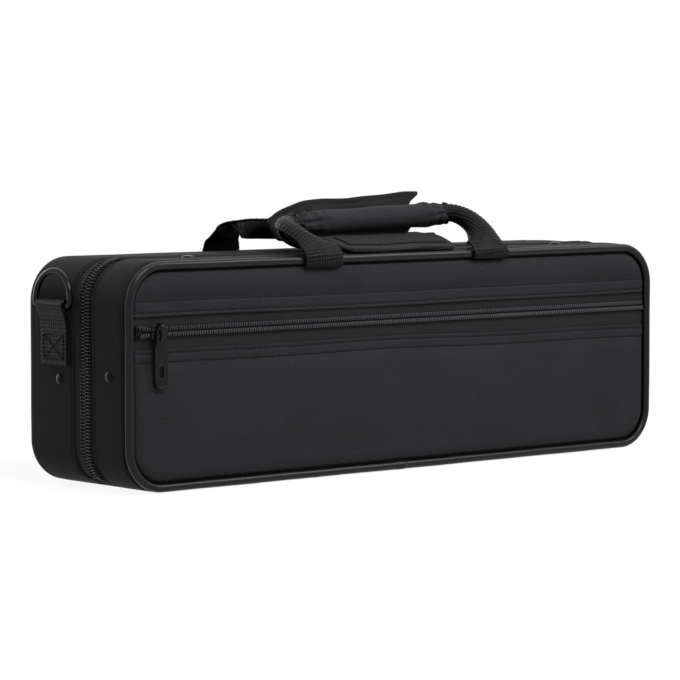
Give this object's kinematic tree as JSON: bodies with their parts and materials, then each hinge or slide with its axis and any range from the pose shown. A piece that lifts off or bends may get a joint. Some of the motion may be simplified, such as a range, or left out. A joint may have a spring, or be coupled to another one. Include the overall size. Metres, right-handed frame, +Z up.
{
  "type": "flute case",
  "caption": "Soft zip-around clamshell flute case with a zipped front pocket, webbing handles, a padded wrapped grip, D-rings and a fitted insert.",
  "frame": {"origin": "middle of the narrow bottom face that the closed case stands on", "axes": "+X along the case to the right as seen from the pocket side, -Y out of the pocket side, +Z up"},
  "size_m": [0.4332, 0.1002, 0.1631],
  "materials": {
    "oxford_cloth": "black woven polyester with a coated back, fine plain weave",
    "webbing": "black woven polyester webbing, ribbed along its length",
    "piping_cover": "black cloth strip folded over a round cord",
    "zip_tape": "black herringbone zip tape",
    "zip_coil": "black nylon coil, slightly glossy",
    "black_metal": "black enamelled zinc alloy",
    "rivet_metal": "black lacquered steel",
    "ring_metal": "black electro-coated steel wire",
    "shell_board": "stiff grey foam board",
    "foam": "dark closed-cell foam",
    "plush": "short-pile black plush",
    "lining_cloth": "smooth black lining cloth",
    "hook_tape": "black hook fastener tape in ribs",
    "loop_tape": "black loop fastener tape, fuzzy"
  },
  "bodies": {
    "base": {"base_piping": "piping_cover", "base_back_panel": "oxford_cloth", "base_back_padding": "foam", "base_gusset": "oxford_cloth", "base_hinge_gusset": "oxford_cloth", "base_zip_tape": "zip_tape", "base_zip_coil": "zip_coil", "base_board": "shell_board", "base_lining": "plush", "base_rivets": "rivet_metal", "flute_insert": "plush", "left_ring_tab": "webbing", "right_ring_tab": "webbing"},
    "lid": {"lid_piping": "piping_cover", "lid_gusset": "oxford_cloth", "lid_hinge_gusset": "oxford_cloth", "lid_zip_tape": "zip_tape", "lid_zip_coil": "zip_coil", "lid_wall_cover": "lining_cloth", "lid_board": "shell_board", "lid_lining": "plush", "lid_pad": "plush", "lid_rivets": "rivet_metal", "pocket_top_panel": "oxford_cloth", "pocket_panel": "oxford_cloth", "pocket_tape_upper": "zip_tape", "pocket_tape_lower": "zip_tape", "pocket_coil_upper": "zip_coil", "pocket_coil_lower": "zip_coil", "pocket_stops": "black_metal"},
    "front_handle": {"front_handle_strap": "webbing", "grip_sleeve": "oxford_cloth", "grip_padding": "foam", "wrap_floor": "oxford_cloth"},
    "wrap_front": {"wrap_front_flap": "oxford_cloth", "hook_strip": "hook_tape"},
    "wrap_back": {"wrap_back_flap": "oxford_cloth", "loop_strip": "loop_tape"},
    "rear_handle": {"rear_handle_strap": "webbing"},
    "left_ring": {"left_ring": "ring_metal"},
    "right_ring": {"right_ring": "ring_metal"},
    "pocket_slider": {"pocket_slider": "black_metal"},
    "pocket_pull": {"pocket_pull": "black_metal"},
    "main_slider": {"main_slider": "black_metal"},
    "main_pull": {"main_pull": "black_metal"}
  },
  "joints": [
    {"name": "lid_hinge", "type": "hinge", "parent": "base", "child": "lid", "pos_m": [0, -0.0075, 0], "axis": [1, 0, 0], "range_deg": [0, 175]},
    {"name": "front_handle_swing", "type": "hinge", "parent": "lid", "child": "front_handle", "pos_m": [0, -0.0486, 0.1255], "axis": [1, 0, 0], "range_deg": [0, 200]},
    {"name": "rear_handle_swing", "type": "hinge", "parent": "base", "child": "rear_handle", "pos_m": [0, 0.0486, 0.1255], "axis": [-1, 0, 0], "range_deg": [0, 185]},
    {"name": "wrap_front_fold", "type": "hinge", "parent": "front_handle", "child": "wrap_front", "pos_m": [0, -0.01665, 0.13835], "axis": [-1, 0, 0], "range_deg": [0, 75]},
    {"name": "wrap_back_fold", "type": "hinge", "parent": "front_handle", "child": "wrap_back", "pos_m": [0, 0.00245, 0.1399], "axis": [1, 0, 0], "range_deg": [0, 25]},
    {"name": "left_ring_swing", "type": "hinge", "parent": "base", "child": "left_ring", "pos_m": [-0.2133, 0.0193, 0.104], "axis": [0, -1, 0], "range_deg": [0, 160]},
    {"name": "right_ring_swing", "type": "hinge", "parent": "base", "child": "right_ring", "pos_m": [0.2133, 0.0193, 0.104], "axis": [0, 1, 0], "range_deg": [0, 160]},
    {"name": "pocket_slide", "type": "slide", "parent": "lid", "child": "pocket_slider", "axis": [1, 0, 0], "range_m": [0, 0.38]},
    {"name": "pocket_pull_swing", "type": "hinge", "parent": "pocket_slider", "child": "pocket_pull", "pos_m": [-0.188, -0.04835, 0.0905], "axis": [-1, 0, 0], "range_deg": [0, 170]},
    {"name": "main_slide", "type": "slide", "parent": "base", "child": "main_slider", "axis": [0, 0, 1], "range_m": [0, 0.055]},
    {"name": "main_pull_swing", "type": "hinge", "parent": "main_slider", "child": "main_pull", "pos_m": [0.21367, -0.0075, 0.044], "axis": [0, -1, 0], "range_deg": [0, 170]}
  ]
}
